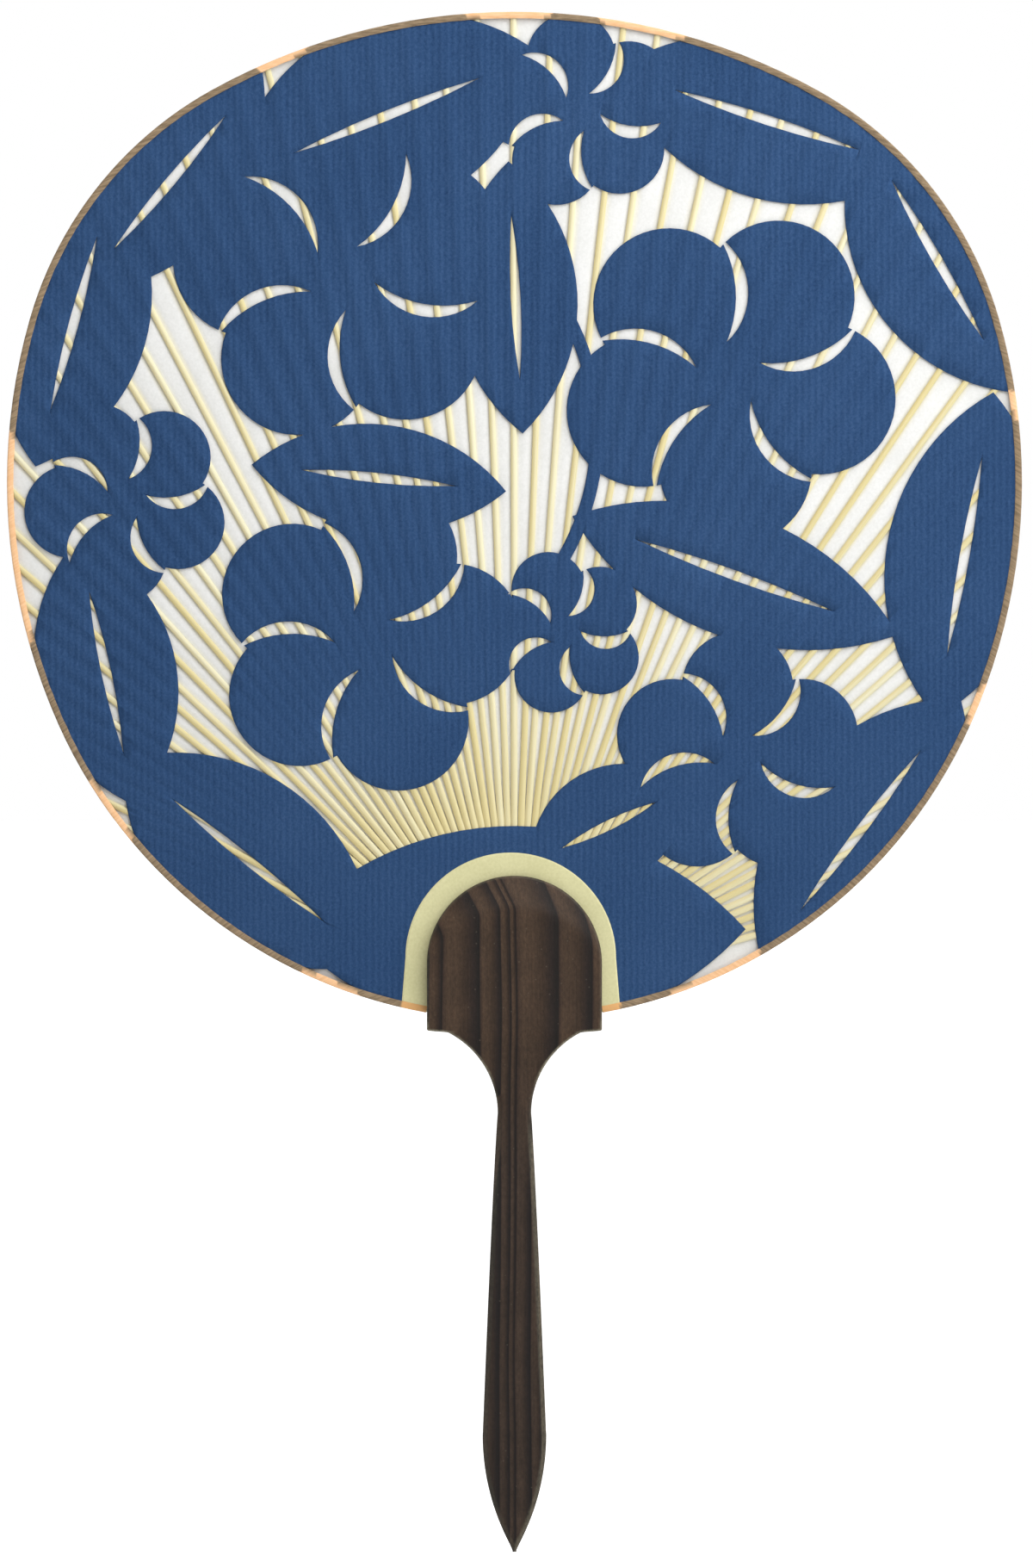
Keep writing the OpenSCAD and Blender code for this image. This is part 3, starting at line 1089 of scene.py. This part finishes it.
        # The back is flat and the front rounded: thinner at its edges than in its middle
        square = add("Math", [across, across], operation="MULTIPLY")
        rounding = add("Math", [square, given["Crown"]], operation="MULTIPLY")
        in_front = add("Math", [0.5, y], operation="SUBTRACT")
        thinned = add("Math", [rounding, in_front], operation="MULTIPLY")
        left = add("Math", [1.0, thinned], operation="SUBTRACT")
        thick = add("Math", [left, given["Thickness"]], operation="MULTIPLY")
        spot = add("CombineXYZ", {1: add("Math", [y, thick], operation="MULTIPLY")})
        for way, far in ((ahead, along), (sideways, aside)):
            step = add("VectorMath", {0: way, "Scale": far}, operation="SCALE")
            spot = add("VectorMath", [spot, step], operation="ADD")
        spot = add("VectorMath", [spot, given["Aim"]], operation="ADD")
        for name, value in (("across", across), ("along", along)):
            blanks = add("GeometryNodeStoreNamedAttribute", dict(Geometry=blanks, Name=name, Value=value))
        return add("GeometryNodeSetPosition", {"Geometry": blanks, "Position": spot})

    def build(self, outline: Values, bamboo: Material) -> None:
        """Makes the ribs as one piece and settles it.

        Args:
            outline: the face's outline, in millimetres.
            bamboo: the ribs' material.
        """
        fan = grown(self.rim_wall(outline), self.tree(), "rib_fan", Bamboo=bamboo)
        names = ["middle_rib"] + [f"rib_pair_{i:02d}" for i in range(1, self.layout.a_side + 1)]
        settle(fan, self.sharp, Slot.BAMBOO, *names)


@dataclass
class RimStrip:
    """The thin strip folded over the rim, swept along it by Geometry Nodes.

    It leaves out the rim within `handle_half` of the middle and below `low_until`, where the handle sits.
    `fold` is the radius of its outer corners.
    """

    outline: Values
    width: float = 1.4
    thickness: float = 0.15
    fold: float = 0.3
    station_step: float = 0.5
    handle_half: float = 21.2
    low_until: float = 80.0
    middle: Point = (0.0, 197.0)
    # How far inside the rim it is judged what the strip covers
    probe: float = 0.9
    collar_t: float = 0.15
    # What lies further than this from the middle plane is on a collar, not round the edge
    lip_y: float = 0.6
    # The lip's edge strays this much, with this many waves a millimetre
    stray: float = 0.07
    stray_pace: float = 0.4
    # Turns the angle round the face into a run along the rim, for the fibres
    run_r: float = 120.0
    sharp: float = 50.0

    def path(self) -> Values:
        """Lists evenly spaced points along the rim, from the handle's right side over the top to its left.

        Returns:
            One row of x and z for each point.
        """
        loop = np.roll(self.outline, -int(np.argmin(self.outline[:, 1])), axis=0)
        if loop[1, 0] < 0:
            loop = np.concatenate([loop[:1], loop[:0:-1]])
        loop = np.concatenate([loop, loop[:1]])
        run = np.concatenate([[0], np.cumsum(np.hypot(*np.diff(loop, axis=0).T))])
        stations = np.linspace(0, run[-1], int(run[-1] / self.station_step))
        x, z = (np.interp(stations, run, loop[:, k]) for k in (0, 1))
        return np.column_stack([x, z])[~((np.abs(x) < self.handle_half) & (z < self.low_until))]

    def section(self, half_stack: float) -> list[Point]:
        """Draws the strip's section.

        Args:
            half_stack: half the thickness of the papers and ribs it wraps.

        Returns:
            Its corners, as distances towards the front and outwards from the rim.
        """
        inner, outer, lip, fold = half_stack, half_stack + self.thickness, -self.width, self.fold
        turn = [(outer - fold + fold * math.cos(a), self.thickness - fold + fold * math.sin(a))
                for a in np.radians([0, 22, 45, 68, 90])]
        # The lip's cut edge is slanted, not square
        half = [(inner, 0.0), (inner, lip), (inner + 0.04, lip - 0.05), (outer, lip + 0.06), *turn]
        return half + [(-f, o) for f, o in reversed(half)]

    @staticmethod
    def tree() -> Tree:
        """Builds the tree that sweeps the section along the rim.

        Returns:
            The tree, which can make the section larger or smaller by Scale.
        """
        tree, add, given = geometry_tree("rim_strip", "Strip", {"Scale": 1.0}, Section="Object",
                                         Paper="Material")
        line = add("GeometryNodeMeshToCurve", [given["Rim"]])
        upright = add("GeometryNodeSetCurveNormal", {"Curve": line, "Normal": (0.0, -1.0, 0.0)}, mode="FREE")
        shape = add("GeometryNodeObjectInfo", {"Object": given["Section"]})
        ring = add("GeometryNodeMeshToCurve", [shape.outputs["Geometry"]])
        swept = add("GeometryNodeCurveToMesh", {"Curve": upright, "Profile Curve": ring,
                                                "Scale": given["Scale"], "Fill Caps": True})
        end_tree(add, swept, given["Paper"], "Strip")
        return tree

    def build(self, paper: Material) -> None:
        """Makes the strip, notes what lies under it and settles it.

        Args:
            paper: its material.
        """
        path = self.path()
        shape = self.section((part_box("back_paper")[1].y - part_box("front_paper")[0].y) / 2 / MM)
        line = make_object("rim_line", [(x, 0.0, z) for x, z in path],
                           edges=[(i, i + 1) for i in range(len(path) - 1)])
        section = make_object("strip_section", [(f, o, 0.0) for f, o in shape],
                              edges=[(i, (i + 1) % len(shape)) for i in range(len(shape))])
        strip = grown(line, self.tree(), "rim_strip_fold", section, Section=section, Paper=paper)
        self.lay_over(strip)
        settle(strip, self.sharp, Slot.STRIP, "rim_strip")

    def lay_over(self, strip: Obj) -> None:
        """Lifts the strip over the collars and marks where it covers blue paper or a collar.

        Args:
            strip: the swept strip.
        """
        low, high = (corner.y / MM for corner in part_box("rim_strip"))
        points = mesh_points(strip.data)
        flat = points[:, [0, 2]]
        inward = np.array(self.middle) - flat
        inward /= np.hypot(*inward.T)[:, None]
        probes = flat + inward * self.probe
        in_front = points[:, 1] < 0
        over_blue = covers("front_paper", probes) & in_front
        over_collar = np.where(in_front, covers("front_collar", probes), covers("back_collar", probes))
        lift = self.collar_t * np.sign(points[:, 1]) * (over_collar & (np.abs(points[:, 1]) > self.lip_y))
        wobble = np.array([noise.noise(Vector((x, 3.0, z))) for x, z in flat * self.stray_pace])
        lip = distance_to(flat, self.outline) > self.width * 0.8
        points[:, 1] = np.clip(points[:, 1] + lift, low, high)
        points[:, [0, 2]] += inward * (wobble * self.stray * lip)[:, None]
        strip.data.vertices.foreach_set("co", (points * MM).ravel())
        store(strip, "run", np.arctan2(*(points[:, [0, 2]] - self.middle).T) * self.run_r)
        store(strip, "over_blue", over_blue)
        store(strip, "over_collar", over_collar)


@dataclass
class Handle:
    """The carved wooden handle: a slotted, bevelled head, a hollow throat, and a blade with a pointed tip."""

    head_half: float = 21.15
    head_half_t: float = 4.8
    arch_z: float = 89.15
    corner_z: float = 72.9
    bevel_drop: float = 12.0
    bevel_width: float = 7.6
    bevel_ease: float = 0.12
    edge_left: float = 2.475
    throat_r: float = 22.0
    throat_x: float = 16.92
    neck_half: float = 4.05
    blade_half: float = 7.7
    blade_half_t: float = 3.5
    swell: float = 0.85
    wide_z: float = -25.0
    tip_z: float = -53.4
    tip_half_t: float = 1.0
    tip_half: float = 0.45
    chamfer: float = 1.3
    # The chamfer takes at most this much of half the thickness
    chamfer_most: float = 0.45
    head_round: float = 0.55
    # The blade's chamfer gives way to the head's rounding over this height above the neck
    edge_blend: float = 8.0
    slot_half: float = 0.875
    slot_z: float = 75.1
    least_half_t: float = 0.15
    # The head's lower corner, as heights above it and half widths
    corner: tuple[Point, ...] = ((-0.32, 16.92), (-0.2, 18.6), (-0.08, 20.0), (0.0, 20.75), (0.12, 21.0),
                                 (0.35, 21.15), (0.6, 21.15), (0.9, 21.15), (1.3, 21.15))
    # How finely it is meshed: along the point, where the rows lie closer at the tip, then along the blade,
    # throat, head and arch, whose last rows are given in degrees, and then across
    point_rows: int = 32
    point_crowding: float = 1.25
    blade_row: float = 0.9
    throat_rows: int = 26
    head_from: float = 1.9
    head_rows: int = 17
    arch_rows: int = 40
    arch_last: tuple[float, ...] = (80.0, 82.0, 84.0, 86.0, 87.5)
    across: int = 16
    edge_steps: tuple[float, ...] = (0.0, 0.12, 0.28, 0.5, 0.85, 1.3, 1.7)
    # Below this half width the steps at the edge are closer
    full_steps: float = 3.4
    # Where the side wall's points lie, from its front edge at 1 to its back edge at -1
    wall_shares: tuple[float, ...] = (0.9, 0.55, 0.0, -0.55, -0.9)
    # The head's edges are rubbed most within this far of this height, and least from a little further off
    rubbed_z: float = 68.0
    rubbed_half: float = 5.0
    rubbed_fade: float = 4.0
    rubbed_least: float = 0.25
    # How pale the blade's left and right chamfers are painted, as painted highlight, stronger on the right where
    # the light falls
    blade_highlight: Point = (0.14, 0.34)
    # How far in from the edge the paling reaches, and how far it fades: the rubbing on the head, then the painted
    # highlight on the blade
    head_worn: Point = (0.1, 0.55)
    blade_highlight_band: Point = (0.6, 0.8)
    sharp: float = 32.0

    @property
    def neck_z(self) -> float:
        """The height where the throat meets the blade."""
        aside = self.neck_half + self.throat_r - self.throat_x
        return self.corner_z - math.sqrt(self.throat_r ** 2 - aside ** 2)

    def rows(self) -> list[Point]:
        """Lists the handle's sections from the tip to the top of the head.

        Returns:
            Height and half width for each.
        """
        neck_z, point_l = self.neck_z, self.wide_z - self.tip_z
        point_r = (self.blade_half ** 2 + point_l ** 2) / (2 * self.blade_half)
        rows = []
        for z in self.tip_z + np.linspace(0, 1, self.point_rows) ** self.point_crowding * point_l:
            side = max(0.0, math.sqrt(point_r ** 2 - (self.wide_z - z) ** 2) - point_r + self.blade_half)
            rows.append((z, math.hypot(side, self.tip_half)))
        for z in np.linspace(self.wide_z, neck_z, int((neck_z - self.wide_z) / self.blade_row))[1:]:
            share = max(0, (neck_z - z) / (neck_z - self.wide_z)) ** self.swell
            rows.append((z, self.neck_half + (self.blade_half - self.neck_half) * share))
        middle_x = self.neck_half + self.throat_r
        last = math.acos((middle_x - self.throat_x) / self.throat_r)
        for a in np.linspace(0, last, self.throat_rows)[1:-1]:
            rows.append((neck_z + self.throat_r * math.sin(a), middle_x - self.throat_r * math.cos(a)))
        rows += [(self.corner_z + up, half) for up, half in self.corner]
        straight = np.linspace(self.corner_z + self.head_from, self.arch_z, self.head_rows)
        rows += [(z, self.head_half) for z in straight]
        for a in np.radians([*np.linspace(0, self.arch_last[0], self.arch_rows)[1:], *self.arch_last[1:]]):
            rows.append((self.arch_z + self.head_half * math.sin(a), self.head_half * math.cos(a)))
        return rows

    def thickness(self, z: Values) -> Values:
        """Returns half the handle's thickness at each height."""
        return np.interp(z, [self.tip_z, self.wide_z, self.neck_z, self.corner_z],
                         [self.tip_half_t, self.blade_half_t, self.blade_half_t, self.head_half_t])

    def surface(self, x: Values, z: Values, outline: Values) -> Values:
        """Shapes the front: bevelled on the head, chamfered on the blade, and eased at its edges.

        Args:
            x: how far each point lies from the middle.
            z: its height.
            outline: the handle's outline.

        Returns:
            How far the front lies from the middle plane at each point.
        """
        flat = self.thickness(z)
        bevel_start = self.head_half + self.bevel_drop - self.bevel_width
        ring = np.hypot(x, z - (self.arch_z - self.bevel_drop))
        slope = (self.head_half_t - self.edge_left) / self.bevel_width
        # Below the head there is no bevel, so the cone is put out of reach there
        cone = np.where(z > self.corner_z, self.head_half_t - (ring - bevel_start) * slope, 99.0)
        height = -self.bevel_ease * np.logaddexp(-flat / self.bevel_ease, -cone / self.bevel_ease)
        edge = distance_to(np.column_stack([x, z]), outline)
        on_head = smooth((z - self.neck_z) / self.edge_blend)
        chamfer = np.maximum(0, np.minimum(self.chamfer, flat * self.chamfer_most) - edge)
        dip = np.clip(1 - edge / self.head_round, 0, 1)
        rounded = self.head_round * (1 - np.sqrt(1 - dip ** 2))
        return np.maximum(self.least_half_t, height - chamfer * (1 - on_head) - rounded * on_head)

    def build(self, wood: Material) -> None:
        """Makes the handle from its sections, saws the slot, marks the worn edges and the painted highlight on
        the blade's chamfers, and settles it.

        Args:
            wood: its material.
        """
        rows = self.rows()
        outline = np.array([(w, z) for z, w in rows] + [(-w, z) for z, w in reversed(rows)])
        columns = []
        for _, w in rows:
            edge = w - np.array(self.edge_steps) * min(1.0, w / self.full_steps)
            inner = np.linspace(edge[-1], 0, self.across + 1)[1:]
            columns.append([*edge, *inner, *-inner[-2::-1], *-edge[::-1]])
        x = np.array(columns)
        z = np.repeat([[z] for z, _ in rows], x.shape[1], axis=1)
        y = self.surface(x.ravel(), z.ravel(), outline).reshape(x.shape)
        front, back = (np.stack([x, sign * y, z], -1) for sign in (-1, 1))
        wall, n_wall = np.array(self.wall_shares), len(self.wall_shares)
        left, right = (np.stack([np.repeat(x[:, [k]], n_wall, 1), sign * y[:, [k]] * wall, z[:, :n_wall]], -1)
                       for k, sign in ((-1, -1), (0, 1)))
        rings = np.concatenate([front, left, back[:, ::-1], right], axis=1)
        count, n = rings.shape[:2]
        faces: list[Sequence[int]] = []
        for low in range(0, (count - 1) * n, n):
            faces += [(low + j, low + (j + 1) % n, low + n + (j + 1) % n, low + n + j) for j in range(n)]
        faces += [range(n), range((count - 1) * n, count * n)]
        blank = make_object("handle_blank", rings.reshape(-1, 3), faces, closed=True)
        handle = boolean(blank, self.slot_tool(), "DIFFERENCE", "handle_carved")
        dress(handle, wood)
        store(handle, "wear_and_highlight", self.paleness(mesh_points(handle.data), outline))
        settle(handle, self.sharp, Slot.HANDLE, "handle")

    def slot_tool(self) -> Obj:
        """Makes the block that the slot is sawn with.

        Returns:
            The block, which reaches past the head on three sides.
        """
        reach, top = self.head_half + 2, self.arch_z + self.head_half + 3
        corners = [(x, y, z) for z in (self.slot_z, top) for y in (-self.slot_half, self.slot_half)
                   for x in (-reach, reach)]
        faces = [(0, 1, 3, 2), (4, 5, 7, 6), (0, 1, 5, 4), (2, 3, 7, 6), (0, 2, 6, 4), (1, 3, 7, 5)]
        return make_object("slot_tool", corners, faces, closed=True)

    def paleness(self, points: Values, outline: Values) -> Values:
        """Tells how pale each point is: rubbed along the head's edges, most along its lower corners, and painted
        highlight on the blade's chamfers.

        Args:
            points: the handle's points.
            outline: its outline.

        Returns:
            A share from 0 to 1 for each point.
        """
        x, y, z = points.T
        edge = distance_to(points[:, [0, 2]], outline)
        rim, lit_facet = (1 - smooth((edge - reach) / fade) for reach, fade in (self.head_worn, self.blade_highlight_band))
        shoulders = 1 - smooth((np.abs(z - self.rubbed_z) - self.rubbed_half) / self.rubbed_fade)
        on_head = smooth((z - self.neck_z + self.edge_blend) / self.edge_blend)
        # On the blade the chamfers are painted paler as a highlight, more on the right, where the light comes
        # from
        left, right = self.blade_highlight
        lit_facet = lit_facet * np.where(x > 0, right, left)
        # The side walls themselves get neither rubbing nor painted highlight, only their edges
        on_edge = smooth((np.abs(y) / self.surface(x, z, outline) - 0.9) / 0.1)
        paled = rim * (self.rubbed_least + (1 - self.rubbed_least) * shoulders)
        return np.maximum(paled * on_head, lit_facet * (1 - on_head)) * on_edge


# Studio


@dataclass
class Studio:
    """White surroundings, soft lamps and the camera. None of it belongs to the fan."""

    lens: float = 150.0
    frame_height: float = 379.7
    centre: Point = (0.5, 132.5)
    # How far the camera sees, in metres
    sight: float = 50.0
    floor_z: float = -105.0
    floor_half: float = 40_000.0
    floor_grey: str = "#E4E4E4"
    white: str = "#FFFFFF"
    floor_glow: float = 0.64
    # Broad suns that light the whole floor alike: strength, the way to each, and its spread in degrees
    suns: tuple[tuple[str, float, tuple[float, float, float], float], ...] = (
        ("overhead", 0.1, (0.12, -0.64, 0.76), 55),
        ("rear", 2.7, (-0.35, 0.7, 0.6), 70),
    )
    # A soft box near the fan, up on its right: watts, then in metres its place, its width and the height that it
    # is turned to
    box_watts: float = 7.7
    box_place: tuple[float, float, float] = (0.32, -0.36, 0.6)
    box_width: float = 0.9
    box_aim: float = 0.2
    ambient: float = 0.165

    def camera(self) -> None:
        """Places the camera square to the face, framed as the photograph is."""
        data = bpy.data.cameras.new("camera")
        data.lens, data.clip_end = self.lens, self.sight
        view = link_object("camera", data)
        away = self.frame_height * MM * self.lens / data.sensor_width
        view.location = (self.centre[0] * MM, -away, self.centre[1] * MM)
        view.rotation_euler = (math.pi / 2, 0, 0)
        bpy.context.scene.camera = view

    def lights(self) -> None:
        """Hangs the lamps: broad suns, and one soft box that the camera doesn't see."""
        for name, strength, way, spread in self.suns:
            self.lamp(name, "SUN", strength, Vector(way)).data.angle = math.radians(spread)
        place = Vector(self.box_place)
        box = self.lamp("soft_box", "AREA", self.box_watts, place - Vector((0, 0, self.box_aim)))
        box.location, box.data.size, box.visible_camera = place, self.box_width, False

    def lamp(self, name: str, kind: str, energy: float, way: Vector) -> Obj:
        """Makes one lamp that shines from a given way.

        Args:
            name: the lamp's name.
            kind: Blender's type of lamp.
            energy: its strength.
            way: points from the fan to the lamp.

        Returns:
            The lamp.
        """
        data = bpy.data.lights.new(name, kind)
        data.energy = energy
        lamp = link_object(name, data)
        lamp.rotation_euler = way.to_track_quat("Z", "Y").to_euler()
        return lamp

    def surroundings(self) -> None:
        """Makes the world white to the camera and a plain soft grey to everything else."""
        world = bpy.data.worlds.new("studio")
        bpy.context.scene.world = world
        world.use_nodes = True
        world.node_tree.nodes.clear()
        add = partial(add_node, world.node_tree)
        path = add("LightPath").outputs
        seen = add("Math", [path["Is Camera Ray"], path["Is Glossy Ray"]], operation="MAXIMUM")
        soft, bright = (add("Background", [self.white, strength]) for strength in (self.ambient, 1.0))
        add("OutputWorld", {"Surface": add("MixShader", [seen, soft, bright])})

    def floor(self) -> None:
        """Lays a pale floor below the fan. To the camera it is lifted to white and keeps the fan's shadow."""
        half = self.floor_half
        square = ((-half, -half), (half, -half), (half, half), (-half, half))
        sheet = make_object("floor", [(x, y, self.floor_z) for x, y in square], [(0, 1, 2, 3)])
        material = bpy.data.materials.new("white_floor")
        material.use_nodes = True
        material.node_tree.nodes.clear()
        add = partial(add_node, material.node_tree)
        matt = add("BsdfDiffuse", [self.floor_grey])
        glow = add("Emission", [self.white, self.floor_glow])
        lifted = add("AddShader", [matt, glow])
        seen = add("LightPath").outputs["Is Camera Ray"]
        add("OutputMaterial", {"Surface": add("MixShader", [seen, matt, lifted])})
        dress(sheet, material)

    def build(self) -> None:
        """Sets the whole studio up."""
        bpy.context.scene.view_settings.view_transform = "Standard"
        for part in (self.camera, self.lights, self.surroundings, self.floor):
            part()


def main() -> None:
    """Builds the fan piece by piece."""
    logging.basicConfig(level=logging.INFO, format="%(name)s %(message)s")
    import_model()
    Studio().build()
    outline = outline_of("back_paper")
    # The ribs aim at a spot 4 mm above the face's lowest point
    ribs = RibLayout(aim=(0.0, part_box("back_paper")[0].z / MM + 4.0))
    sheets = FaceSheets(ribs, outline)
    dyed = RibbedPaper("ribbed_blue_paper", 0.9, 0.12).build()
    core = PlainPaper("blue_paper_core", 0.9, 0.2, pale="#F3F5F8", deep="#DCE4EE").build()
    sheets.front_paper(dyed, core)
    sheets.back_paper(PlainPaper("white_backing_paper", 0.9, 0.2, rib_share=0.6).build())
    collar = PlainPaper("pale_green_paper", 0.8, 0.3, relief=0.03, pale="#D8D4A5", deep="#CDC999").build()
    edge = PlainPaper("pale_green_paper_edge", 0.85, 0.2, pale="#F1EFCF", deep="#E9E6BF").build()
    for side in Side:
        sheets.collar(side, collar, edge)
    rib_low, rib_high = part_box("middle_rib")
    bamboo = SplitBamboo("split_bamboo", 0.45, 0.4).build()
    RibFan(ribs, (rib_low.y + rib_high.y) / 2 / MM).build(outline, bamboo)
    RimStrip(outline).build(StripPaper("unbleached_strip_paper", 0.85, 0.2).build())
    Handle().build(FumedWood("fumed_softwood", 0.55, 0.2).build())


if __name__ == "__main__":
    main()
